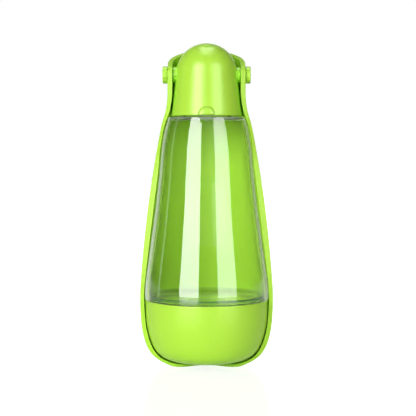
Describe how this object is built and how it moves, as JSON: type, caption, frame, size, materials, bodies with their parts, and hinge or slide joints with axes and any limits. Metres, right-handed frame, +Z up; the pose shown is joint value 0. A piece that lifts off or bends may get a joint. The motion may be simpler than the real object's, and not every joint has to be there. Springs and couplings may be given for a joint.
{
  "type": "dog travel water bottle",
  "caption": "Clear tapered water bottle for dogs with a green dome cap, a trough hinged on side pins that folds over its back, and a turn-off base cup.",
  "frame": {"origin": "point on the standing face right under the bottle's axis", "axes": "+Z up along the bottle's axis, -Y the front that faces the viewer, +Y the side the trough folds against, +X from the left hinge pin to the right one"},
  "size_m": [0.0844, 0.0837, 0.2056],
  "materials": {
    "clear_plastic": "clear gloss",
    "green_plastic": "gloss",
    "white_plastic": "satin",
    "seal_rubber": "matte",
    "pin_steel": "satin"
  },
  "bodies": {
    "bottle": {"bottle_body": "clear_plastic", "bottle_floor": "clear_plastic", "base_seal": "seal_rubber", "neck_stopper": "white_plastic", "stopper_gasket": "seal_rubber"},
    "neck_ring": {"neck_o_ring": "seal_rubber"},
    "cap": {"cap_shell": "green_plastic", "cap_liner": "white_plastic", "liner_seal": "seal_rubber", "valve_plug": "seal_rubber", "hinge_pin_left": "pin_steel", "hinge_pin_right": "pin_steel", "hinge_knob_left": "green_plastic", "hinge_knob_right": "green_plastic", "hinge_washer_left": "white_plastic", "hinge_washer_right": "white_plastic"},
    "trough": {"trough": "green_plastic"},
    "base_cup": {"base_cup": "green_plastic"}
  },
  "joints": [
    {"name": "cap_turn", "type": "hinge", "parent": "bottle", "child": "neck_ring", "pos_m": [0, 0, 0.1715], "axis": [0, 0, 1], "range_deg": [0, 40]},
    {"name": "cap_lift", "type": "slide", "parent": "neck_ring", "child": "cap", "axis": [0, 0, 1], "range_m": [0, 0.0007]},
    {"name": "trough_flip", "type": "hinge", "parent": "cap", "child": "trough", "pos_m": [0, 0, 0.1856], "axis": [1, 0, 0], "range_deg": [0, 180]},
    {"name": "base_cup_turn", "type": "hinge", "parent": "bottle", "child": "base_cup", "pos_m": [0, 0, 0.038], "axis": [0, 0, 1], "range_deg": [0, 60]}
  ],
  "couplings": [
    {"joint": "cap_lift", "follows": "cap_turn", "m_per_rad": 0.00095493}
  ]
}
